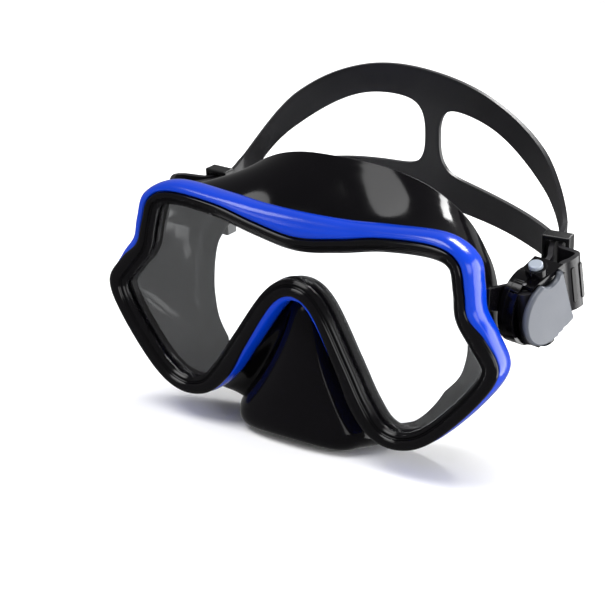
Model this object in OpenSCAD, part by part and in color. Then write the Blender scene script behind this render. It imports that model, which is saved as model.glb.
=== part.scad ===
// Single-lens diving mask: frame, bezel, lens, silicone skirt with nose pocket,
// a split head strap, and a swivelling push-button buckle on each side.
// Origin: centre of the bezel's front plane. +X is the wearer's left, +Y runs back to the face.

/* [Mask] */
// Width of the bezel over both cheek lobes
mask_w = 166; // [160:1:170]
// Depth of the front frame, front to back
frame_d = 13; // [11.5:0.5:14]
// Thickness of the tempered glass lens
lens_t = 3; // [2.5:0.1:3.2]
// Wall thickness of the silicone skirt
skirt_t = 2; // [1.6:0.1:2.4]
// Width of the seal's lip, from its outer edge in towards the face
lip_w = 12; // [9:1:14]

/* [Strap] */
// Width of the strap's ends, where they run through the buckles
strap_w = 22; // [20:0.5:22.5]
// Thickness of the strap
strap_t = 1.8; // [1.6:0.1:1.8]
// How far the strap's back stands behind its side pieces
strap_depth = 44; // [38:1:50]
// How much higher the relaxed bands sit on the wearer's right than level
skew = 4; // [0:0.5:5]
// Width of the rib that bridges the two bands at the back
bridge_w = 7; // [5:1:10]

/* [Buckles] */
// Radius of the buckle's round base
base_r = 14; // [13.8:0.1:14.4]
// Radius of the swivel pin
pin_r = 3; // [2.5:0.1:3.5]
// Tilt of the buckles and strap ends above level
tilt = 22; // [15:1:28]
// Angle by which the buckles are splayed out at the back
toe = 8; // [4:1:9]
// Radius of a release button's cap
button_r = 2.6; // [2.3:0.1:2.8]

/* [Hidden] */
$fn = 48;

k = mask_w / 166;
gap = 0.15;

// Half outlines from the bottom centre round the wearer's left side to the top centre
bezel_half = [
    [0, 9.2], [9.3, 4.1], [21.8, -15], [29.8, -27.8], [38, -36.6], [49, -38.4],
    [61, -32.4], [76.5, -15.5], [83, -2.5], [77, 7.5], [71.5, 15], [70, 23.5],
    [66.8, 34], [57, 38.2], [36, 37], [18, 33.2], [0, 30.6]
];
frame_half = [
    [0, 5.8], [7.2, 1.4], [18.8, -16.4], [27, -29.4], [36.8, -38.2], [49, -39.8],
    [61.8, -33.4], [77.8, -16.2], [85.4, -2.2], [80.6, 9.6], [75.4, 17.3], [73.8, 26],
    [70.8, 35.6], [58.4, 41.8], [36, 40.8], [18, 39.4], [0, 39]
];
// The seal's outer edge: x, y, z
seal_half = [
    [0, 30, -48], [10, 30, -49], [19, 30, -49.8], [28, 30, -49.8], [38, 30, -47.5], [48, 31, -42.5],
    [58, 33, -34], [65.5, 34, -24], [68.8, 34, -12], [69, 33, 0], [68, 33, 12], [66, 34.5, 20],
    [61.5, 36, 28], [51, 38, 39.5], [36, 36, 49.5], [19, 31.5, 55], [0, 29, 56.5]
];
// Nose pocket and the sheet beside it: five points from the middle out, at each station
// between the frame and the seal, as x, y, z
pocket_net = [
    [[0, 8.5, 3.5], [4.8, 9.5, 0.5], [12.5, 14, -11], [25.5, 18, -28], [38, 18, -39.5]],
    [[0, 5, -12], [8, 7.5, -13], [14.5, 14.5, -19], [26.5, 20.5, -32], [38, 20, -41.5]],
    [[0, 2.5, -29], [13.5, 5.2, -29], [21.5, 14, -30], [28, 21.5, -38], [38, 22.5, -43.5]],
    [[0, 1, -44.5], [20, 3.5, -44], [28, 12, -42.5], [30, 22.5, -45], [38, 25.5, -45.5]],
    [[0, 8, -49], [18, 10, -50], [25, 17, -49.5], [30, 25, -49], [38, 28, -46.6]]
];

function xm(p) = [-p[0], for (i = [1:len(p) - 1]) p[i]];
function whole(h) = concat(h, [for (i = [len(h) - 2:-1:1]) xm(h[i])]);
function bend(a, b, c, d, t) = 0.5 * (2 * b + (c - a) * t + (2 * a - 5 * b + 4 * c - d) * t * t
    + (3 * b - a - 3 * c + d) * t * t * t);
function smooth(p, n) = [
    for (i = [0:len(p) - 1], j = [0:n - 1])
    bend(p[(i + len(p) - 1) % len(p)], p[i], p[(i + 1) % len(p)], p[(i + 2) % len(p)], j / n)
];
function along(p, n) = [
    for (i = [0:len(p) - 2], j = [0:n - 1])
    bend(p[max(i - 1, 0)], p[i], p[i + 1], p[min(i + 2, len(p) - 1)], j / n),
    p[len(p) - 1]
];
function mix(a, b, t) = [for (i = [0:len(a) - 1]) a[i] * (1 - t) + b[i] * t];
function clamp(v) = max(0, min(1, v));
function unit(v) = v / norm(v);
function at_y(p, y) = [for (q = p) [q[0], y, q[1]]];

steps = 4;
bezel_line = smooth([for (q = whole(bezel_half)) q * k], steps);
frame_line = smooth([for (q = whole(frame_half)) q * k], steps);
seal_line = smooth([for (q = whole(seal_half)) [q[0] * k, q[1], q[2] * k]], steps);
count = len(bezel_line);

// Outward normal of a closed outline seen from the front, from its x and z values
function normal(p, i, z) = let (a = p[(i + 1) % count], b = p[(i + count - 1) % count])
    unit([a[z] - b[z], b[0] - a[0]]);
function grown(p, d) = [for (i = [0:count - 1]) p[i] + normal(p, i, 1) * d];

// A ring or tube through loops of equal length; the last loop joins the first
module ring(loops) {
    m = len(loops);
    pts = [for (l = loops) each l];
    faces = [
        for (r = [0:m - 1], i = [0:count - 1])
        let (j = (i + 1) % count, s = (r + 1) % m)
        each [
            [r * count + i, r * count + j, s * count + j],
            [r * count + i, s * count + j, s * count + i]
        ]
    ];
    polyhedron(pts, faces, convexity = 10);
}

// A flat plate of a front outline, from y0 to y1
module plate(y0, y1) {
    translate([0, y1, 0])
        rotate([90, 0, 0])
            linear_extrude(y1 - y0)
                children();
}

// ---- front frame, bezel and lens

frame_section = [
    [0.05, 1.2], [0.3, 0.5], [0.62, 1.3], [0.88, 3.2], [1, 6.2], [0.94, 9],
    [0.75, frame_d - 1.4], [0.5, frame_d], [0.04, frame_d], [0.02, 7]
];

module front_frame()
    color([0.05, 0.2, 0.9])
        ring([for (q = frame_section) at_y(mix(bezel_line, frame_line, q[0]), q[1])]);

module bezel_band(outer, inner)
    difference() {
        offset(delta = -outer)
            polygon(bezel_line);
        offset(delta = -inner)
            polygon(bezel_line);
    }

lens_y = 4.2;
seat_y = lens_y + lens_t + gap;

module bezel()
    color([0.05, 0.05, 0.06]) {
        plate(0, lens_y - gap)
            bezel_band(0.1, 2.7);
        plate(1.2, lens_y - gap)
            bezel_band(2.6, 5.2);
    }

module lens()
    color([0.85, 0.92, 0.95, 0.35])
        plate(lens_y, lens_y + lens_t)
            offset(delta = -1)
                polygon(bezel_line);

// ---- skirt: front flange, wall, nose pocket and sealing lip

wall_parts = [0, 0.22, 0.44, 0.66, 0.86, 0.96, 1];
wall_steps = 2;
root_y = frame_d + 1.6;
// The skirt's inner face inside the frame, in from the bezel's line
front_wall = 4.6;
// Where the wall leaves the frame, from the bezel's line (0) to the frame's (1): out under the
// nose, where the pocket starts, and just inside the bezel's line elsewhere, inboard of the arms
function root_mix(i) = i < 4 ? 0.4 : i == 4 ? 0.15 : i == 8 || i == 9 ? -0.55 : -0.1;
root_half = [
    for (i = [0:len(bezel_half) - 1])
    bezel_half[i] * (1 - root_mix(i)) + frame_half[i] * root_mix(i)
];
far = len(bezel_half) - 1;

// One half loop of the wall's net: the pocket's own points, then a straight run to the seal
function net_point(i, part) = let (t = wall_parts[part], a = root_half[i], b = seal_half[i])
    part > 0 && part < 6 && i < 5 ? pocket_net[part - 1][i]
    : [a[0], root_y, a[1]] * (1 - t) + b * t + unit([b[0], 0, b[2] - 5]) * sin(180 * t);
wall_net = [
    for (part = [0:6])
    smooth([for (q = whole([for (i = [0:far]) net_point(i, part)])) [q[0] * k, q[1], q[2] * k]], steps)
];
wall_columns = [for (i = [0:count - 1]) along([for (l = wall_net) l[i]], wall_steps)];
wall_rows = 6 * wall_steps;

function wall_normal(i, j) = let (
    a = wall_columns[(i + 1) % count][j] - wall_columns[(i + count - 1) % count][j],
    b = wall_columns[i][min(j + 1, wall_rows)] - wall_columns[i][max(j - 1, 0)]
) unit(cross(a, b));
function wall_loop(j, d) = [for (i = [0:count - 1]) wall_columns[i][j] + wall_normal(i, j) * d];
// A loop of the lip: a share of its width in from the seal's edge; it is narrower under the nose
function lip_loop(share, y) = [
    for (i = [0:count - 1])
    let (
        p = seal_line[i],
        n = normal(seal_line, i, 2),
        d = share * (1 - 0.4 * clamp((-34 - p[2]) / 12)) * lip_w
    )
    [p[0] - n[0] * d, p[1] + y, p[2] - n[1] * d]
];

module skirt()
    color([0.08, 0.08, 0.1])
        ring(concat(
            [
                at_y(grown(bezel_line, -5.5), seat_y), at_y(grown(bezel_line, -0.6), seat_y),
                at_y(grown(bezel_line, -0.6), frame_d + gap),
                at_y(smooth([for (q = whole(root_half)) q * k], steps), frame_d + gap)
            ],
            [for (j = [0:wall_rows]) wall_loop(j, 0)],
            [lip_loop(0.1, 2), lip_loop(0.5, 2.6), lip_loop(1, 1), lip_loop(1, 0), lip_loop(0.5, 1)],
            [for (j = [wall_rows - 1:-1:0]) wall_loop(j, skirt_t)],
            [
                at_y(grown(bezel_line, -front_wall), frame_d),
                at_y(grown(bezel_line, -front_wall), seat_y + 1.6),
                at_y(grown(bezel_line, -5.5), seat_y + 1.6)
            ]
        ));

// ---- one buckle, built for the wearer's left side and mirrored for the right

pivot = [78.1 * k, 33.6, 13.8];
arm_in = 71.8 * k;
arm_out = arm_in + 2.1;
roller_r = 1.8;
roller_w = 4.2;
roller_u = -4;
wall_v = strap_w / 2 + 0.6;
wall_t = 1.6;
pawl_w = 4.2;
pawl_u = 8;
button_u = 3;
button_w = 4.6;
collar_v = wall_v + wall_t + 3;
// Inner face of the swivel pin's head, sunk in the buckle's base
head_x = pivot[0] - 1.5;
// The cover's inner face: its distance out at the pivot, and its lean towards the back
cover_w = 8.8;
cover_lean = 6;

// Local axes of a buckle: x out from the head, y back along the strap, z across it
module in_buckle()
    translate(pivot)
        rotate([tilt, 0, 0])
            rotate([0, 0, -toe])
                children();

// A cylinder across the strap, centred on its width
module cross_bar(r, length)
    cylinder(r = r, h = length, center = true);

module arm()
    color([0.07, 0.07, 0.08])
        difference() {
            union() {
                translate([arm_in, pivot[1], pivot[2]])
                    rotate([0, 90, 0])
                        cylinder(r = 7.5, h = arm_out - arm_in);
                translate([arm_in, 0, 0])
                    rotate([90, 0, 90])
                        linear_extrude(arm_out - arm_in)
                            polygon([[frame_d + gap, 15.3], [24, 12.5], [31, 8], [36, 20.6],
                                [frame_d + gap, 23.5]]);
            }
            translate([arm_in - 1, pivot[1], pivot[2]])
                rotate([0, 90, 0])
                    cylinder(r = pin_r + 0.01, h = 6);
        }

module swivel_pin()
    color([0.6, 0.6, 0.62])
        translate([arm_in, pivot[1], pivot[2]])
            rotate([0, 90, 0]) {
                cylinder(r = pin_r, h = head_x - arm_in);
                translate([0, 0, head_x - arm_in])
                    cylinder(r = pin_r + 1.5, h = 0.7);
            }

// How far out the side walls reach, just short of the cover
function cover_at(u) = cover_w + u * tan(cover_lean) - 0.03;

// Round base, side walls and button collars, open at the back for the strap
module buckle()
    color([0.07, 0.07, 0.08])
        difference() {
            union() {
                in_buckle() {
                    translate([-2, 0, 0])
                        rotate([0, 90, 0])
                            cylinder(r = base_r, h = 2);
                    difference() {
                        translate([-0.2, 0, 0])
                            rotate([0, 90, 0])
                                cylinder(r = base_r, h = 4.2);
                        rotate([0, 90, 0])
                            cylinder(r = base_r - 1.2, h = 6);
                        translate([-0.1, -8.3, -wall_v])
                            cube([6, base_r + 12, 2 * wall_v]);
                    }
                    for (s = [-1, 1])
                        translate([0, 0, s * (wall_v + wall_t / 2) - wall_t / 2])
                            linear_extrude(wall_t)
                                polygon([[-2, -5], [cover_at(-5), -5], [cover_at(12), 12], [-2, 12]]);
                    for (s = [-1, 1])
                        translate([button_w, button_u, s * (wall_v + wall_t - 0.2)])
                            mirror([0, 0, s < 0 ? 1 : 0])
                                cylinder(r = button_r + 1.4, h = 3.2);
                }
                translate([arm_out + 0.2, pivot[1], pivot[2]])
                    rotate([0, 90, 0])
                        cylinder(r = pin_r + 2.4, h = pivot[0] - arm_out - 1);
            }
            translate([arm_out - 1, pivot[1], pivot[2]])
                rotate([0, 90, 0])
                    cylinder(r = pin_r + 0.05, h = 9);
            translate([head_x - 0.1, pivot[1], pivot[2]])
                rotate([0, 90, 0])
                    cylinder(r = pin_r + 1.7, h = 4);
            in_buckle() {
                translate([roller_w, roller_u, 0])
                    cross_bar(0.8, 60);
                translate([pawl_w, pawl_u, 0])
                    cross_bar(0.8, 2 * (wall_v + wall_t) + 1);
                translate([button_w, button_u, 0])
                    cross_bar(1.45, 60);
                for (s = [-1, 1])
                    translate([button_w, button_u, s * (wall_v + wall_t / 2)])
                        mirror([0, 0, s < 0 ? 1 : 0])
                            cylinder(r = button_r + 0.1, h = 8);
            }
        }

// The grey outer cover: round at the front, straight at the back, thicker towards the back
module cover()
    color([0.6, 0.62, 0.66])
        in_buckle()
            difference() {
                intersection() {
                    rotate([0, 90, 0])
                        union() {
                            cylinder(r = base_r - 1.6, h = 12);
                            linear_extrude(12)
                                polygon([[-12.9, 0], [12.9, 0], [12.9, 12.5], [-12.9, 9]]);
                        }
                    translate([cover_w, 0, 0])
                        rotate([0, 0, -cover_lean])
                            translate([0, -20, -20])
                                cube([2.2, 40, 40]);
                }
                for (s = [-1, 1])
                    translate([button_w + 2, button_u, s * (wall_v + wall_t + 1.5)])
                        cylinder(r = button_r + 1.9, h = 8, center = true);
            }

module roller()
    color([0.12, 0.12, 0.13])
        in_buckle()
            translate([roller_w, roller_u, 0])
                difference() {
                    cross_bar(roller_r, 2 * wall_v - 0.4);
                    cross_bar(0.85, 2 * wall_v);
                }

module roller_pin()
    color([0.7, 0.7, 0.72])
        in_buckle()
            translate([roller_w, roller_u, 0])
                cross_bar(0.8, 2 * (wall_v + wall_t));

module pawl()
    color([0.12, 0.12, 0.13])
        in_buckle()
            difference() {
                union() {
                    translate([pawl_w, pawl_u, 0])
                        cross_bar(1.5, 19);
                    translate([pawl_w - 0.7, pawl_u - 4.6, -9.5])
                        cube([1.4, 4.6, 19]);
                }
                translate([pawl_w, pawl_u, 0])
                    cross_bar(0.85, 30);
            }

module pawl_pin()
    color([0.7, 0.7, 0.72])
        in_buckle()
            translate([pawl_w, pawl_u, 0])
                cross_bar(0.8, 2 * (wall_v + wall_t));

module button(s)
    color([0.62, 0.64, 0.68])
        in_buckle()
            translate([button_w, button_u, 0])
                mirror([0, 0, s < 0 ? 1 : 0]) {
                    translate([0, 0, wall_v - 0.3])
                        cylinder(r = 1.4, h = collar_v - wall_v);
                    translate([0, 0, collar_v - 0.9])
                        cylinder(r = button_r, h = 2.4);
                }

// Coil spring under a button's cap, as a stack of rings; three wires fit under the pressed cap
spring_wire = 0.22;
spring_pitch = 1.18;
module button_spring(s)
    color([0.75, 0.75, 0.77])
        in_buckle()
            translate([button_w, button_u, 0])
                mirror([0, 0, s < 0 ? 1 : 0])
                    for (i = [0:2])
                        translate([0, 0, wall_v + wall_t / 2 + 0.3 + i * spring_pitch])
                            rotate_extrude()
                                translate([2.02, 0])
                                    circle(r = spring_wire, $fn = 16);

// ---- strap

// Turn at which the bands end and the strap's ends begin
end_turn = 78;
// Half width of the strap's loop where it leaves the buckles
strap_half = 77 * k;
// How much the bands lean in towards the crown, per mm of height; they stand upright at the ends
function lean(turn) = 0.18 * (1 - pow(turn / end_turn, 4));

// A point of the strap's surface: turn is the angle from the back centre
function strap_at(turn, z) = [
    (strap_half - lean(turn) * (z - 30)) * sin(turn),
    62 + (strap_depth - 0.14 * (z - 30)) * cos(turn),
    z - skew * sin(turn * 180 / end_turn)
];
// Edge heights at even steps of the turn, from the back's centre to the end
top_edge = [80.5, 76.5, 62, 34.5];
hole_top = [67.5, 64.5, 47, 24];
hole_low = [39, 36.5, 31, 22];
low_edge = [25, 24, 19, 12.5];
function edge(e, turn) = let (f = abs(turn) * 3 / end_turn, i = min(2, floor(f)))
    bend(i == 0 ? e[1] : e[i - 1], e[i], e[i + 1], e[min(i + 2, 3)], f - i);

// A solid through equal rings of corner points, closed at both ends
module tube(rings) {
    m = len(rings);
    c = len(rings[0]);
    pts = [for (r = rings) each r];
    sides = [
        for (r = [0:m - 2], i = [0:c - 1])
        let (j = (i + 1) % c)
        each [
            [r * c + i, r * c + j, (r + 1) * c + j],
            [r * c + i, (r + 1) * c + j, (r + 1) * c + i]
        ]
    ];
    polyhedron(pts, concat(sides, [[for (i = [c - 1:-1:0]) i], [for (i = [0:c - 1]) (m - 1) * c + i]]));
}

function outward(turn) = unit([sin(turn) / strap_half, cos(turn) / strap_depth, 0]);
function band_ring(turn, z0, z1) = let (o = outward(turn) * strap_t / 2) [
    for (j = [0:4]) strap_at(turn, z0 + (z1 - z0) * j / 4) - o,
    for (j = [4:-1:0]) strap_at(turn, z0 + (z1 - z0) * j / 4) + o
];

module band(from, to, count_, e0, e1)
    tube([
        for (i = [0:count_])
        let (a = from + (to - from) * i / count_)
        band_ring(a, edge(e0, a), edge(e1, a))
    ]);

// Centre line of a strap end: from the side of the head, through the keeper, round the
// roller and back under the cover to the keeper. Local points are [out, back] in the buckle.
across = [0, -sin(tilt), cos(tilt)];
function from_buckle(w, u) = let (y = u * cos(toe) - w * sin(toe))
    pivot + [w * cos(toe) + u * sin(toe), y * cos(tilt), y * sin(tilt)];
turn_r = roller_r + 0.3 + strap_t / 2;
end_route = concat(
    [[74.4 * k, 73, 23.6], [75 * k, 69.5, 22.3], [75.2 * k, 63, 20.4], [78.2 * k, 55.5, 19.8]],
    [for (u = [16, 8, 1]) from_buckle(roller_w - turn_r, u)],
    [
        for (a = [180:20:360])
        from_buckle(roller_w + turn_r * cos(a), roller_u + turn_r * sin(a))
    ],
    [for (u = [1, 8, 15]) from_buckle(roller_w + turn_r, u)],
    [
        from_buckle(8.7, 18.5), [90.2 * k, 52.4, 21.2], [88.6 * k, 55.4, 21], [84.8 * k, 57, 20.6],
        [81 * k, 58, 20.4], [79 * k, 60.4, 20.4], [78 * k, 64, 20.8], [77.6 * k, 68, 21.6]
    ]
);
// 1 where the strap stands nearly upright at the keeper, 0 where it lies square in the buckle
route_level = concat([1, 1, 0.9, 0.4], [for (i = [0:15]) 0], [0, 0.1, 0.3, 0.5, 0.7, 0.85, 1, 1]);
function route_across(i) = unit(mix(across, [0, -0.12, 1], route_level[i]));
function route_ring(p, i) = let (
    t = unit(p[min(i + 1, len(p) - 1)] - p[max(i - 1, 0)]),
    a = route_across(i),
    o = unit(cross(t, a)) * strap_t / 2,
    h = a * strap_w / 2
) [p[i] - h + o, p[i] + h + o, p[i] + h - o, p[i] - h - o];

module strap_end()
    tube([for (i = [0:len(end_route) - 1]) route_ring(end_route, i)]);

// Turn from the back's centre to an edge of the bridging rib
bridge_turn = asin(bridge_w / 2 / strap_half);

module strap()
    color([0.1, 0.1, 0.11])
        resize([0, 0, 0])
            union() {
                band(-70, 70, 36, hole_top, top_edge);
                band(-70, 70, 36, low_edge, hole_low);
                band(-bridge_turn, bridge_turn, 2, low_edge, top_edge);
                for (m = [0, 1])
                    mirror([m, 0, 0]) {
                        band(60, end_turn, 5, low_edge, top_edge);
                        strap_end();
                    }
            }

// Loop that holds the strap's free tail against the strap; it slides along both
keeper_at = [76.6 * k, 63.4, 20.5];
keeper_turn = 6;
keeper_rise = 9;

module keeper()
    color([0.06, 0.06, 0.07])
        translate(keeper_at)
            rotate([keeper_rise, 0, keeper_turn])
                difference() {
                    cube([11, 6, strap_w + 6], center = true);
                    cube([7.4, 8, strap_w + 2], center = true);
                }

// The wearer's left side is +X
module side(name)
    mirror([name == "right" ? 1 : 0, 0, 0])
        children();

front_frame();
bezel();
lens();
skirt();
strap();
for (s = ["right", "left"]) {
    side(s) arm();
    side(s) swivel_pin();
    side(s) buckle();
    side(s) cover();
    side(s) roller();
    side(s) roller_pin();
    side(s) pawl();
    side(s) pawl_pin();
    side(s) button(1);
    side(s) button(-1);
    side(s) button_spring(1);
    side(s) button_spring(-1);
    side(s) keeper();
}
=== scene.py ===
import math

import bmesh
import bpy
import numpy as np
from mathutils import Matrix, Vector


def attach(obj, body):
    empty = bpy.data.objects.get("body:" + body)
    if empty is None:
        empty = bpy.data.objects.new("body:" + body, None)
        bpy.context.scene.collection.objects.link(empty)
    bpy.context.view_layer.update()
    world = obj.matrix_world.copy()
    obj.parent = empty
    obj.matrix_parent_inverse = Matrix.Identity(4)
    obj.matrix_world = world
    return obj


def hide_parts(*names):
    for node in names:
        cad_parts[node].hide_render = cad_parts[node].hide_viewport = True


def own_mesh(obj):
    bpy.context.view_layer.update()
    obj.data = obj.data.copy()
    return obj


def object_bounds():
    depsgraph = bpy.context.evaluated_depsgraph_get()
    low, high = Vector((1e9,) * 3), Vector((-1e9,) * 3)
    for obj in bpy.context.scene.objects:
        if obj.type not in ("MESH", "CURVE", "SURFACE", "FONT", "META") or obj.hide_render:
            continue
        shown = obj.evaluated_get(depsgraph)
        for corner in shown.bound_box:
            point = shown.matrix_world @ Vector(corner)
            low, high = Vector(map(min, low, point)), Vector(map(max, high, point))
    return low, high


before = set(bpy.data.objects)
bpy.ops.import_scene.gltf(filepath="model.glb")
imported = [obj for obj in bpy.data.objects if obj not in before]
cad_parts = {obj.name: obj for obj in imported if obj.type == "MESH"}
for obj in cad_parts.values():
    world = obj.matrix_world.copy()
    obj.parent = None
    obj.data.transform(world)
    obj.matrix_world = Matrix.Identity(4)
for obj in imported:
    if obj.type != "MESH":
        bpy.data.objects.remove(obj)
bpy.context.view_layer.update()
MM = 0.001

# ---------------------------------------------------------------- shapes shared with the CAD (mm)

BEZEL_HALF = [
    (0, 9.2), (9.3, 4.1), (21.8, -15), (29.8, -27.8), (38, -36.6), (49, -38.4),
    (61, -32.4), (76.5, -15.5), (83, -2.5), (77, 7.5), (71.5, 15), (70, 23.5),
    (66.8, 34), (57, 38.2), (36, 37), (18, 33.2), (0, 30.6),
]
FRAME_HALF = [
    (0, 5.8), (7.2, 1.4), (18.8, -16.4), (27, -29.4), (36.8, -38.2), (49, -39.8),
    (61.8, -33.4), (77.8, -16.2), (85.4, -2.2), (80.6, 9.6), (75.4, 17.3), (73.8, 26),
    (70.8, 35.6), (58.4, 41.8), (36, 40.8), (18, 39.4), (0, 39),
]
SEAL_HALF = [
    (0, 30, -48), (10, 30, -49), (19, 30, -49.8), (28, 30, -49.8), (38, 30, -47.5), (48, 31, -42.5),
    (58, 33, -34), (65.5, 34, -24), (68.8, 34, -12), (69, 33, 0), (68, 33, 12), (66, 34.5, 20),
    (61.5, 36, 28), (51, 38, 39.5), (36, 36, 49.5), (19, 31.5, 55), (0, 29, 56.5),
]
POCKET = [
    [(0, 8.5, 3.5), (4.8, 9.5, 0.5), (12.5, 14, -11), (25.5, 18, -28), (38, 18, -39.5)],
    [(0, 5, -12), (8, 7.5, -13), (14.5, 14.5, -19), (26.5, 20.5, -32), (38, 20, -41.5)],
    [(0, 2.5, -29), (13.5, 5.2, -29), (21.5, 14, -30), (28, 21.5, -38), (38, 22.5, -43.5)],
    [(0, 1, -44.5), (20, 3.5, -44), (28, 12, -42.5), (30, 22.5, -45), (38, 25.5, -45.5)],
    [(0, 8, -49), (18, 10, -50), (25, 17, -49.5), (30, 25, -49), (38, 28, -46.6)],
]
FRAME_D = 13.0
GAP = 0.15
SEAT_Y = 7.35
SKIRT_T = 2.0
LIP_W = 12.0
STEPS = 10


def whole(half):
    h = np.array(half, float)
    m = h[::-1][1:-1].copy()
    m[:, 0] *= -1
    return np.vstack([h, m])


def bend(a, b, c, d, t):
    return 0.5 * (2 * b + (c - a) * t + (2 * a - 5 * b + 4 * c - d) * t * t
                  + (3 * b - a - 3 * c + d) * t ** 3)


def smooth(p, n):
    """A closed curve through p, n points to each span."""
    m = len(p)
    return np.array([bend(p[i - 1], p[i], p[(i + 1) % m], p[(i + 2) % m], j / n)
                     for i in range(m) for j in range(n)])


def along(p, n):
    """An open curve through p."""
    m = len(p)
    out = [bend(p[max(i - 1, 0)], p[i], p[i + 1], p[min(i + 2, m - 1)], j / n)
           for i in range(m - 1) for j in range(n)]
    return np.array(out + [p[-1]])


def flat_normals(p):
    """Outward normals of a closed outline that runs anticlockwise seen from the front."""
    d = np.roll(p, -1, 0) - np.roll(p, 1, 0)
    n = np.stack([d[:, 1], -d[:, 0]], 1)
    return n / np.linalg.norm(n, axis=1)[:, None]


bezel_line = smooth(whole(BEZEL_HALF), STEPS)
frame_line = smooth(whole(FRAME_HALF), STEPS)
seal_line = smooth(whole(SEAL_HALF), STEPS)
COUNT = len(bezel_line)


def grown(p, d):
    return p + flat_normals(p) * d


def at_y(p, y):
    return np.stack([p[:, 0], np.full(len(p), float(y)), p[:, 1]], 1)


# ---------------------------------------------------------------- mesh helpers

def new_object(name, verts, faces, material, body, nodes=()):
    me = bpy.data.meshes.new(name)
    me.from_pydata([tuple(float(c) * MM for c in v) for v in verts], [], faces)
    me.validate()
    bm = bmesh.new()
    bm.from_mesh(me)
    bmesh.ops.recalc_face_normals(bm, faces=bm.faces)
    bm.to_mesh(me)
    bm.free()
    for f in me.polygons:
        f.use_smooth = True
    o = bpy.data.objects.new(name, me)
    bpy.context.scene.collection.objects.link(o)
    o.data.materials.append(material)
    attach(o, body)
    if nodes:
        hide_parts(*nodes)
    return o


def ring_mesh(loops):
    """Vertices and faces of a closed tube through closed loops."""
    m, c = len(loops), len(loops[0])
    verts = np.concatenate(loops)
    faces = [(r * c + i, r * c + (i + 1) % c, ((r + 1) % m) * c + (i + 1) % c, ((r + 1) % m) * c + i)
             for r in range(m) for i in range(c)]
    return verts, faces


def add_bevel(o, width, segments=3, angle=32):
    b = o.modifiers.new("edges", "BEVEL")
    b.width = width * MM
    b.segments = segments
    b.limit_method = "ANGLE"
    b.angle_limit = math.radians(angle)
    b.use_clamp_overlap = True
    b.harden_normals = False
    w = o.modifiers.new("normals", "WEIGHTED_NORMAL")
    w.keep_sharp = True
    return o


def refined(node, body, material, width=0.25, segments=3):
    """A CAD node with its edges rounded."""
    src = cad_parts[node]
    me = src.data.copy()
    me.name = node + "_detail"
    bm = bmesh.new()
    bm.from_mesh(me)
    bmesh.ops.remove_doubles(bm, verts=bm.verts, dist=2e-6)
    bmesh.ops.dissolve_limit(bm, angle_limit=math.radians(1.0), verts=bm.verts, edges=bm.edges)
    bmesh.ops.recalc_face_normals(bm, faces=bm.faces)
    bm.to_mesh(me)
    bm.free()
    if "custom_normal" in me.attributes:
        me.attributes.remove(me.attributes["custom_normal"])
    for f in me.polygons:
        f.use_smooth = True
    me.materials.clear()
    me.materials.append(material)
    o = bpy.data.objects.new(node + "_detail", me)
    bpy.context.scene.collection.objects.link(o)
    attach(o, body)
    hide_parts(node)
    return add_bevel(o, width, segments)


# ---------------------------------------------------------------- materials

def plastic(name, color, rough, grain, bump, coat=0.0, coat_rough=0.05, vary=0.12,
            rough_span=0.06, metallic=0.0, peel=0.0, spec=0.5):
    """Moulded material: slight colour drift, uneven polish, fine grain and long soft waves."""
    m = bpy.data.materials.new(name)
    m.use_nodes = True
    nt = m.node_tree
    n, l = nt.nodes, nt.links
    b = n["Principled BSDF"]
    b.inputs["Metallic"].default_value = metallic
    b.inputs["Coat Weight"].default_value = coat
    b.inputs["Coat Roughness"].default_value = coat_rough
    b.inputs["Specular IOR Level"].default_value = spec
    tc = n.new("ShaderNodeTexCoord")
    wide = n.new("ShaderNodeTexNoise")
    wide.inputs["Scale"].default_value = 35
    wide.inputs["Detail"].default_value = 4
    l.new(tc.outputs["Object"], wide.inputs["Vector"])
    ramp = n.new("ShaderNodeValToRGB")
    ramp.color_ramp.elements[0].position = 0.3
    ramp.color_ramp.elements[1].position = 0.7
    ramp.color_ramp.elements[0].color = [c * (1 - vary) for c in color] + [1]
    ramp.color_ramp.elements[1].color = [min(1, c * (1 + vary)) for c in color] + [1]
    l.new(wide.outputs["Fac"], ramp.inputs["Fac"])
    l.new(ramp.outputs["Color"], b.inputs["Base Color"])
    smudge = n.new("ShaderNodeTexNoise")
    smudge.inputs["Scale"].default_value = 120
    smudge.inputs["Detail"].default_value = 6
    l.new(tc.outputs["Object"], smudge.inputs["Vector"])
    span = n.new("ShaderNodeMapRange")
    span.inputs["To Min"].default_value = max(0.01, rough - rough_span)
    span.inputs["To Max"].default_value = rough + rough_span
    l.new(smudge.outputs["Fac"], span.inputs["Value"])
    l.new(span.outputs["Result"], b.inputs["Roughness"])
    fine = n.new("ShaderNodeTexNoise")
    fine.inputs["Scale"].default_value = grain
    fine.inputs["Detail"].default_value = 3
    l.new(tc.outputs["Object"], fine.inputs["Vector"])
    bp = n.new("ShaderNodeBump")
    bp.inputs["Strength"].default_value = bump
    bp.inputs["Distance"].default_value = 0.0001
    l.new(fine.outputs["Fac"], bp.inputs["Height"])
    last = bp
    if peel:
        waves = n.new("ShaderNodeBump")
        waves.inputs["Strength"].default_value = peel
        waves.inputs["Distance"].default_value = 0.0004
        l.new(wide.outputs["Fac"], waves.inputs["Height"])
        l.new(bp.outputs["Normal"], waves.inputs["Normal"])
        last = waves
    l.new(last.outputs["Normal"], b.inputs["Normal"])
    return m


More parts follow.
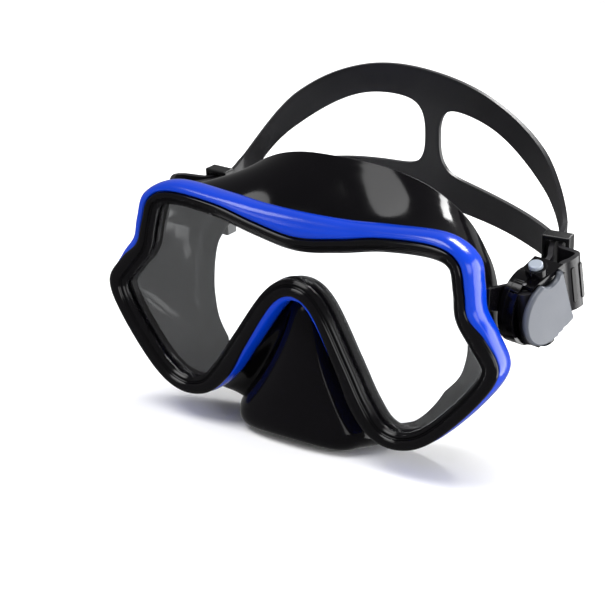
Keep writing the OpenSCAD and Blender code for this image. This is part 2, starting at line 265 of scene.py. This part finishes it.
def glass(name):
    m = bpy.data.materials.new(name)
    m.use_nodes = True
    nt = m.node_tree
    n, l = nt.nodes, nt.links
    b = n["Principled BSDF"]
    b.inputs["Base Color"].default_value = (0.97, 0.99, 1, 1)
    b.inputs["Transmission Weight"].default_value = 1
    b.inputs["IOR"].default_value = 1.46
    tc = n.new("ShaderNodeTexCoord")
    noise = n.new("ShaderNodeTexNoise")
    noise.inputs["Scale"].default_value = 60
    l.new(tc.outputs["Object"], noise.inputs["Vector"])
    span = n.new("ShaderNodeMapRange")
    span.inputs["To Min"].default_value = 0.0
    span.inputs["To Max"].default_value = 0.015
    l.new(noise.outputs["Fac"], span.inputs["Value"])
    l.new(span.outputs["Result"], b.inputs["Roughness"])
    clear = n.new("ShaderNodeBsdfTransparent")
    path = n.new("ShaderNodeLightPath")
    mix = n.new("ShaderNodeMixShader")
    l.new(path.outputs["Is Shadow Ray"], mix.inputs["Fac"])
    l.new(b.outputs["BSDF"], mix.inputs[1])
    l.new(clear.outputs["BSDF"], mix.inputs[2])
    l.new(mix.outputs["Shader"], n["Material Output"].inputs["Surface"])
    return m


BLUE = plastic("blue_gloss", (0.0006, 0.036, 0.45), 0.2, 900, 0.05, coat=0.14, coat_rough=0.06, vary=0.04,
               spec=0.3)
BLACK = plastic("black_gloss", (0.002, 0.0018, 0.0024), 0.11, 900, 0.05, vary=0.2, rough_span=0.04, spec=0.2)
SILICONE = plastic("skirt_silicone", (0.0024, 0.0021, 0.0028), 0.11, 700, 0.06, vary=0.2, peel=0.05,
                   spec=0.14)
STRAP = plastic("strap_silicone", (0.0085, 0.008, 0.0098), 0.34, 1400, 0.25, vary=0.15, spec=0.4)
GREY = plastic("grey_satin", (0.082, 0.09, 0.108), 0.4, 2600, 0.3, vary=0.05, spec=0.4)
BUTTON = plastic("button_satin", (0.33, 0.37, 0.43), 0.32, 2600, 0.2, vary=0.05, metallic=0.2)
DARK = plastic("dark_satin", (0.0035, 0.0035, 0.004), 0.3, 1600, 0.2, vary=0.15, spec=0.35)
STEEL = plastic("pin_steel", (0.55, 0.55, 0.57), 0.28, 3000, 0.15, vary=0.06, metallic=1.0)
GLASS = glass("lens_glass")

# ---------------------------------------------------------------- frame and bezel

FRAME_SECTION = [
    (0.03, 1.5), (0.08, 0.95), (0.3, 0.5), (0.62, 1.3), (0.88, 3.2), (1, 6.2), (0.95, 9.2),
    (0.8, 11.3), (0.62, 12.6), (0.45, 13),
]
outer = along(np.array(FRAME_SECTION), 4)
section = np.vstack([outer, [(0.25, 13), (0.04, 13), (0.03, 10), (0.02, 6), (0.02, 3)]])
# How far the bezel laps over the frame's front: fully at the cheeks and lobes, not at the brow
LAP_FLOOR = 2.65  # depth of the frame's front where the bezel lies over it
LAP_LIFT = 1.9    # how far forward the underside of the lap sits
LAP = [0.35, 0.35, 0.6, 0.95, 1, 1, 1, 1, 0.95, 0.6, 0.2, 0, 0, 0, 0, 0, 0]
lap = np.clip(smooth(whole([(k, 0) for k in LAP]), STEPS)[:, 0], 0, 1)
for i in range(COUNT):
    if bezel_line[i, 0] < 0:
        lap[i] = lap[(COUNT - i) % COUNT]


def frame_loop(share, y):
    loop = at_y(bezel_line * (1 - share) + frame_line * share, y)
    loop[:, 1] += max(0.0, LAP_FLOOR - y) * lap
    return loop


verts, faces = ring_mesh([frame_loop(s, y) for s, y in section])
new_object("front_frame_shell", verts, faces, BLUE, "mask", ["front_frame"])

BEZEL_SECTION = [
    (0.12, 4.0), (0.12, 1.3), (0.3, 0.6), (0.75, 0.14), (1.35, 0.02), (1.95, 0.14), (2.4, 0.55),
    (2.62, 1.15), (2.8, 1.62), (3.1, 1.72), (3.35, 1.5), (3.7, 1.22), (4.1, 1.24), (4.35, 1.5),
    (4.5, 1.95), (4.75, 2.1), (5.05, 2.3), (5.2, 2.75), (5.22, 4.0),
]


def bezel_loop(d, y):
    loop = at_y(grown(bezel_line, -d), y)
    share = np.interp(d, [0.12, 0.3, 0.75, 1.35, 1.95, 2.4], [0.94, 0.9, 0.75, 0.42, 0.14, 0])
    loop[:, [0, 2]] += (frame_line - bezel_line) * (share * lap)[:, None]
    if d < 0.2 and y > 3:
        loop[:, 1] -= LAP_LIFT * lap
    return loop


verts, faces = ring_mesh([bezel_loop(d, y) for d, y in BEZEL_SECTION])
new_object("bezel_ring", verts, faces, BLACK, "mask", ["bezel"])

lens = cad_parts["lens"]
lens.data.materials.clear()
lens.data.materials.append(GLASS)

# ---------------------------------------------------------------- skirt

WALL_PARTS = [0, 0.22, 0.44, 0.66, 0.86, 0.96, 1]
WALL_STEPS = 6
ROOT_Y = FRAME_D + 1.6


def root_mix(i):
    return 0.4 if i < 4 else 0.15 if i == 4 else -0.55 if i in (8, 9) else -0.1


ROOT_HALF = [tuple(np.array(BEZEL_HALF[i]) * (1 - root_mix(i)) + np.array(FRAME_HALF[i]) * root_mix(i))
             for i in range(len(BEZEL_HALF))]


def net_point(i, part):
    t = WALL_PARTS[part]
    if 0 < part < 6 and i < 5:
        return np.array(POCKET[part - 1][i], float)
    a = np.array([ROOT_HALF[i][0], ROOT_Y, ROOT_HALF[i][1]])
    b = np.array(SEAL_HALF[i], float)
    out = np.array([b[0], 0, b[2] - 5])
    return a * (1 - t) + b * t + out / np.linalg.norm(out) * math.sin(math.pi * t)


net = [smooth(whole([net_point(i, part) for i in range(len(BEZEL_HALF))]), STEPS) for part in range(7)]
columns = np.array([along([l[i] for l in net], WALL_STEPS) for i in range(COUNT)])
ROWS = 6 * WALL_STEPS
du = np.roll(columns, -1, 0) - np.roll(columns, 1, 0)
dv = np.stack([columns[:, min(j + 1, ROWS)] - columns[:, max(j - 1, 0)] for j in range(ROWS + 1)], 1)
wall_n = np.cross(du, dv)
wall_n /= np.linalg.norm(wall_n, axis=2)[:, :, None]


def lip_loop(share, y):
    n = flat_normals(seal_line[:, [0, 2]])
    f = 1 - 0.4 * np.clip((-34 - seal_line[:, 2]) / 12, 0, 1)
    d = share * f * LIP_W
    return np.stack([seal_line[:, 0] - n[:, 0] * d, seal_line[:, 1] + y, seal_line[:, 2] - n[:, 1] * d], 1)


loops = [at_y(grown(bezel_line, -5.5), SEAT_Y), at_y(grown(bezel_line, -3), SEAT_Y),
         at_y(grown(bezel_line, -0.6), SEAT_Y), at_y(grown(bezel_line, -0.6), FRAME_D + GAP),
         at_y(smooth(whole(ROOT_HALF), STEPS), FRAME_D + GAP)]
loops += [columns[:, j] for j in range(ROWS + 1)]
loops += [lip_loop(0.02, 0.9), lip_loop(0.06, 1.6), lip_loop(0.12, 2.05), lip_loop(0.25, 2.35),
          lip_loop(0.5, 2.6), lip_loop(0.75, 2.1), lip_loop(0.96, 1.15), lip_loop(1, 0.7),
          lip_loop(0.99, 0.2), lip_loop(0.9, 0.1), lip_loop(0.7, 0.5), lip_loop(0.5, 1.0), lip_loop(0.3, 0.9)]
loops += [columns[:, j] + wall_n[:, j] * SKIRT_T for j in range(ROWS - 1, -1, -1)]
loops += [at_y(grown(bezel_line, -4.6), FRAME_D), at_y(grown(bezel_line, -4.6), SEAT_Y + 1.9),
          at_y(grown(bezel_line, -4.9), SEAT_Y + 1.6), at_y(grown(bezel_line, -5.4), SEAT_Y + 1.6)]
verts, faces = ring_mesh(loops)
new_object("skirt_silicone_body", verts, faces, SILICONE, "mask", ["skirt"])

# ---------------------------------------------------------------- buckle axes

PIVOT = np.array([78.1, 33.6, 13.8])
TILT, TOE = math.radians(22), math.radians(8)
W_AX = np.array([math.cos(TOE), -math.sin(TOE) * math.cos(TILT), -math.sin(TOE) * math.sin(TILT)])
U_AX = np.array([math.sin(TOE), math.cos(TOE) * math.cos(TILT), math.cos(TOE) * math.sin(TILT)])
V_AX = np.array([0, -math.sin(TILT), math.cos(TILT)])


def buckle_point(s, w, u, v=0.0):
    p = PIVOT + W_AX * w + U_AX * u + V_AX * v
    return np.array([s * p[0], p[1], p[2]])


# ---------------------------------------------------------------- strap

STRAP_W, STRAP_T, STRAP_DEPTH, SKEW, STRAP_HALF, END_TURN = 22.0, 1.8, 44.0, 4.0, 77.0, 78.0
TOP_EDGE = [80.5, 76.5, 62, 34.5]
HOLE_TOP = [67.5, 64.5, 47, 24]
HOLE_LOW = [39, 36.5, 31, 22]
LOW_EDGE = [25, 24, 19, 12.5]
ROLLER_W, ROLLER_U = 4.2, -4.0
ROLLER_R, ROLLER_GAP = 1.8, 0.3
TURN_R = ROLLER_R + ROLLER_GAP + STRAP_T / 2
SIDE_ROWS = 6


def strap_at(turn, z):
    a = math.radians(turn)
    lean = 0.18 * (1 - (turn / END_TURN) ** 4)
    return np.array([(STRAP_HALF - lean * (z - 30)) * math.sin(a),
                     62 + (STRAP_DEPTH - 0.14 * (z - 30)) * math.cos(a),
                     z - SKEW * math.sin(math.radians(turn * 180 / END_TURN))])


def edge(e, turn):
    f = abs(turn) * 3 / END_TURN
    i = min(2, int(f))
    return bend(e[1] if i == 0 else e[i - 1], e[i], e[i + 1], e[min(i + 2, 3)], f - i)


HOLE_FROM, HOLE_TO = 2.6, 66.0


def hole_open(turn):
    """How far the hole is open at a turn: 0 past its ends, 1 in its middle, with round corners."""
    c, w = (HOLE_FROM + HOLE_TO) / 2, (HOLE_TO - HOLE_FROM) / 2
    x = abs(abs(turn) - c) / w
    return 0.0 if x >= 1 else (1 - x ** 11) ** (1 / 2.6)


def band_column(turn):
    lo, hi = edge(LOW_EDGE, turn), edge(TOP_EDGE, turn)
    h0, h1 = edge(HOLE_LOW, turn), edge(HOLE_TOP, turn)
    mid, o = (h0 + h1) / 2, hole_open(turn)
    z0, z1 = mid - (mid - h0) * o, mid + (h1 - mid) * o
    zs = [lo + (z0 - lo) * j / SIDE_ROWS for j in range(SIDE_ROWS + 1)]
    zs += [z1 + (hi - z1) * j / SIDE_ROWS for j in range(SIDE_ROWS + 1)]
    return np.array([strap_at(turn, z) for z in zs])


def strap_turns():
    t = set(np.round(np.linspace(0, 75, 61), 4))
    for c, sign in ((HOLE_FROM, 1), (HOLE_TO, -1)):
        for q in (0, 0.03, 0.1, 0.22, 0.4, 0.65, 1.0, 1.5, 2.2, 3.1):
            t.add(round(c + sign * q, 4))
    t = sorted(x for x in t if 0 <= x <= 75)
    return [-x for x in t[::-1] if x] + t


def end_stations():
    """Centre and across direction of a strap end, as (point, lean) stations, on the left side."""
    route = [((75.0, 69.5, 22.3), 1), ((75.2, 63, 20.4), 0.9), ((78.2, 55.5, 19.8), 0.4)]
    route += [(buckle_point(1, ROLLER_W - TURN_R, u), 0) for u in (16, 8, 1)]
    route += [(buckle_point(1, ROLLER_W + TURN_R * math.cos(math.radians(a)),
                            ROLLER_U + TURN_R * math.sin(math.radians(a))), 0) for a in range(180, 361, 20)]
    route += [(buckle_point(1, ROLLER_W + TURN_R, u), 0) for u in (1, 8, 15)]
    route += [(buckle_point(1, 8.7, 18.5), 0), ((90.2, 52.4, 21.2), 0.1),
              ((88.6, 55.4, 21), 0.3), ((84.8, 57, 20.6), 0.5), ((81, 58, 20.4), 0.7),
              ((79, 60.4, 20.4), 0.85), ((78, 64, 20.8), 1), ((77.6, 68, 21.6), 1)]
    return route


ACROSS = np.array([0, -math.sin(TILT), math.cos(TILT)])
UPRIGHT = np.array([0, -0.12, 1.0])


def end_columns(s):
    start = band_column(s * 75)
    lo, hi = start[0], start[-1]
    points, dirs, halves = [(lo + hi) / 2 * [s, 1, 1]], [(hi - lo) * [s, 1, 1]], [np.linalg.norm(hi - lo) / 2]
    for p, level in end_stations():
        points.append(np.array(p, float))
        dirs.append(ACROSS * (1 - level) + UPRIGHT * level)
        halves.append(STRAP_W / 2)
    dirs = [d / np.linalg.norm(d) for d in dirs]
    c, a, h = along(np.array(points), 4), along(np.array(dirs), 4), along(np.array(halves)[:, None], 4)
    out = []
    for p, d, r in list(zip(c, a, h))[1:]:
        d = d / np.linalg.norm(d)
        rows = [p + d * r[0] * (2 * j / (2 * SIDE_ROWS) - 1) for j in range(2 * SIDE_ROWS + 1)]
        rows = rows[:SIDE_ROWS + 1] + rows[SIDE_ROWS:]
        out.append(np.array(rows) * [s, 1, 1])
    return out


cols = end_columns(-1)[::-1] + [band_column(t) for t in strap_turns()] + end_columns(1)
R = 2 * SIDE_ROWS + 2
verts = np.concatenate(cols)
faces = [(c * R + j, (c + 1) * R + j, (c + 1) * R + j + 1, c * R + j + 1)
         for c in range(len(cols) - 1) for j in range(R - 1) if j != SIDE_ROWS]
strap = new_object("strap_silicone_band", verts, faces, STRAP, "left_harness", ["strap"])
bm = bmesh.new()
bm.from_mesh(strap.data)
bmesh.ops.remove_doubles(bm, verts=bm.verts, dist=2e-6)
bm.to_mesh(strap.data)
bm.free()
thick = strap.modifiers.new("thickness", "SOLIDIFY")
thick.thickness = STRAP_T * MM
thick.offset = 0
thick.use_even_offset = True
add_bevel(strap, 0.55, 3, 50)


def stadium(length, width, n=10):
    r, h = width / 2, length / 2 - width / 2
    top = [(r * math.cos(a), h + r * math.sin(a)) for a in np.linspace(0, math.pi, n)]
    return top + [(-x, -y) for x, y in top]


def prism(outline, place, t0, t1):
    """A straight prism of an outline; place(a, b, t) gives the point."""
    n = len(outline)
    verts = [place(a, b, t0) for a, b in outline] + [place(a, b, t1) for a, b in outline]
    faces = [tuple(range(n))[::-1], tuple(range(n, 2 * n))]
    faces += [(i, (i + 1) % n, n + (i + 1) % n, n + i) for i in range(n)]
    return verts, faces


# Raised teeth on the outer run, which the pawl's edge catches; they are the strap's own silicone, but take
# the darker black gloss as painted shade for the shadow between them
for s, side in ((1, "left"), (-1, "right")):
    for k, (w, u, turned) in enumerate(((7.35, 14.0, 0.16), (8.55, 18.2, 0.3), (9.3, 22.0, 0.0))):
        ca, sa = math.cos(turned), math.sin(turned)

        def place(a, b, t, w=w, u=u, ca=ca, sa=sa, s=s):
            return buckle_point(s, w + 0.9 + t * ca + a * sa, u + a * ca - t * sa, b)

        v, f = prism(stadium(15.5, 1.9), place, -0.2, 0.42)
        # BLACK here is painted shade: the teeth are coloured darker than the strap to stand in for shadow
        tooth = new_object(f"{side}_strap_tooth_{k + 1}", v, f, BLACK, "left_harness")
        add_bevel(tooth, 0.25, 3)

# ---------------------------------------------------------------- buckles

COVER_W, COVER_LEAN = 8.8, math.radians(6)
BUTTON_W, BUTTON_U = 4.6, 3.0
COVER_OUTLINE = [
    (9.3, 11.6), (8.8, 12.4), (7.9, 12.6), (7.3, 11.9), (6.2, 10.9), (4.6, 10.25), (3.0, 10.05), (1.4, 10.3),
    (0.1, 11.0), (-0.9, 11.9), (-1.9, 12.35),
]
COVER_OUTLINE += [(12.6 * math.cos(a), 12.6 * math.sin(a))
                  for a in np.radians(np.arange(104, 282, 6))]
COVER_OUTLINE += [(3.2, -12.6), (3.8, -11.9), (6.0, -11.9), (6.6, -11.2), (9.0, -10.9), (11.6, -10.7),
                  (12.5, -10.2), (12.6, -9.0), (12.2, -7.4), (11.9, -6.2)]


def cover(s, side):
    """The grey cover: a flat plate with soft edges."""
    outline = smooth(np.array(COVER_OUTLINE)[::-1], 3)
    n = len(outline)
    c = np.array([-0.2, 0.2])
    inner = [(1.0, 0.0), (1.0, 1.1), (0.994, 1.55), (0.978, 1.95), (0.955, 2.2), (0.93, 2.3)]
    verts, faces = [], []
    for f, t in inner:
        for p in outline:
            q = c + (p - c) * f
            w = COVER_W + q[0] * math.tan(COVER_LEAN) + t
            verts.append(buckle_point(s, w, q[0], q[1]))
    for r in range(len(inner) - 1):
        faces += [(r * n + i, r * n + (i + 1) % n, (r + 1) * n + (i + 1) % n, (r + 1) * n + i)
                  for i in range(n)]
    faces += [tuple(range(n))[::-1], tuple(range((len(inner) - 1) * n, len(inner) * n))]
    o = new_object(side + "_cover_shell", verts, faces, GREY, side + "_harness",
                   [side + "_cover"])
    flat = o.modifiers.new("normals", "WEIGHTED_NORMAL")
    flat.weight = 90
    return o


def tube_ring(s, radius, thick_r, w, name, body):
    """A thin raised bead round the buckle's base."""
    loops = []
    for t in np.radians(np.arange(0, 360, 45)):
        r = radius + thick_r * math.cos(t)
        loops.append(np.array([buckle_point(s, w + thick_r * math.sin(t), r * math.cos(a), r * math.sin(a))
                               for a in np.radians(np.linspace(0, 360, 72, endpoint=False))]))
    verts, faces = ring_mesh(loops)
    new_object(name, verts, faces, BLACK, body)


def coil(s, side, up):
    """The real coil of a button's spring."""
    sign = 1 if up else -1
    turns, wire, radius, v0, v1 = 3.0, 0.2, 2.02, 12.62, 15.06
    n, m = 120, 8
    verts = []
    for i in range(n + 1):
        t = i / n
        a = 2 * math.pi * turns * t
        v = v0 + (v1 - v0) * min(1, max(0, (t - 0.1) / 0.8))
        for j in range(m):
            b = 2 * math.pi * j / m
            r = radius + wire * math.cos(b)
            verts.append(buckle_point(s, BUTTON_W + r * math.cos(a), BUTTON_U + r * math.sin(a),
                                      sign * (v + wire * math.sin(b))))
    faces = [(i * m + j, i * m + (j + 1) % m, (i + 1) * m + (j + 1) % m, (i + 1) * m + j)
             for i in range(n) for j in range(m)]
    faces += [tuple(range(m))[::-1], tuple(range(n * m, (n + 1) * m))]
    which = "upper" if up else "lower"
    o = new_object(f"{side}_{which}_coil", verts, faces, STEEL, side + "_harness",
                   [f"{side}_{which}_spring"])
    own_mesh(o)
    return o


for s, side in ((1, "left"), (-1, "right")):
    harness = side + "_harness"
    refined(side + "_arm", "mask", BLACK, 0.5)
    refined(side + "_swivel_pin", "mask", STEEL, 0.15)
    refined(side + "_buckle", harness, BLACK, 0.28)
    refined(side + "_roller_pin", harness, STEEL, 0.1)
    refined(side + "_pawl_pin", harness, STEEL, 0.1)
    refined(side + "_roller", side + "_roller_body", DARK, 0.15)
    refined(side + "_pawl", side + "_pawl_body", DARK, 0.15)
    refined(side + "_upper_button", side + "_upper_button_body", BUTTON, 0.4, 4)
    refined(side + "_lower_button", side + "_lower_button_body", BUTTON, 0.4, 4)
    refined(side + "_keeper", side + "_keeper_body", DARK, 0.7, 4)
    cover(s, side)
    tube_ring(s, 13.85, 0.22, 0.05, side + "_base_bead", harness)
    coil(s, side, True)
    coil(s, side, False)

# ---------------------------------------------------------------- floor, light and camera

scene = bpy.context.scene
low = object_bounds()[0]
me = bpy.data.meshes.new("floor")
HALF_FLOOR, FLOOR_Z = 8, low[2] - 0.0004
corners = [(x * HALF_FLOOR, y * HALF_FLOOR, FLOOR_Z) for x, y in ((-1, -1), (1, -1), (1, 1), (-1, 1))]
me.from_pydata(corners, [], [(0, 1, 2, 3)])
floor = bpy.data.objects.new("floor", me)
scene.collection.objects.link(floor)
me.materials.append(plastic("floor_paper", (0.92, 0.92, 0.925), 0.8, 300, 0.02, vary=0.01))
floor.visible_glossy = False

world = bpy.data.worlds.new("studio")
scene.world = world
world.use_nodes = True
world.node_tree.nodes["Background"].inputs["Color"].default_value = (1, 1, 1, 1)
world.node_tree.nodes["Background"].inputs["Strength"].default_value = 0.28


def area(name, place, target, size, power, size_y=None):
    d = bpy.data.lights.new(name, "AREA")
    d.energy = power
    d.size = size
    if size_y:
        d.shape = "RECTANGLE"
        d.size_y = size_y
    o = bpy.data.objects.new(name, d)
    scene.collection.objects.link(o)
    o.location = place
    o.rotation_euler = (Vector(target) - Vector(place)).to_track_quat("-Z", "Y").to_euler()
    return o


area("right_soft", (0.95, -0.3, 0.35), (0.05, 0.02, 0), 0.7, 5, 0.5)
area("cheek_soft", (0.9, 0.62, 0.0), (0.07, 0.02, 0), 1.0, 22, 1.3)
area("top_strip", (0.12, 0.8, 0.85), (0, 0.03, 0.02), 0.5, 11, 0.24)
area("front_soft", (-0.4, -0.9, 0.55), (0, 0.02, 0), 0.3, 1.6, 0.5)

key = bpy.data.lights.new("key", "SUN")
key.energy = 2.45
key.angle = math.radians(35)
key_object = bpy.data.objects.new("key", key)
scene.collection.objects.link(key_object)
key_object.rotation_euler = Vector((0.25, 0.35, -1.0)).to_track_quat("-Z", "Y").to_euler()

AZ, EL, ROLL = math.radians(30.67), math.radians(15.65), math.radians(3.12)
back = Vector((math.sin(AZ) * math.cos(EL), -math.cos(AZ) * math.cos(EL), math.sin(EL)))
right = Vector((math.cos(AZ), math.sin(AZ), 0))
up = back.cross(right)
tilted_right = right * math.cos(ROLL) + up * math.sin(ROLL)
tilted_up = up * math.cos(ROLL) - right * math.sin(ROLL)
cam_data = bpy.data.cameras.new("camera")
cam = bpy.data.objects.new("camera", cam_data)
scene.collection.objects.link(cam)
place = Vector((0.0246, 0, 0.028)) + back * 0.585
m = Matrix((tilted_right, tilted_up, back)).transposed().to_4x4()
m.translation = place
cam.matrix_world = m
cam_data.sensor_width = 36
cam_data.lens = 98.2
cam_data.shift_x = -0.0785
cam_data.shift_y = -0.0736
cam_data.clip_start = 0.01
cam_data.clip_end = 50
scene.camera = cam
scene.view_settings.view_transform = "Standard"
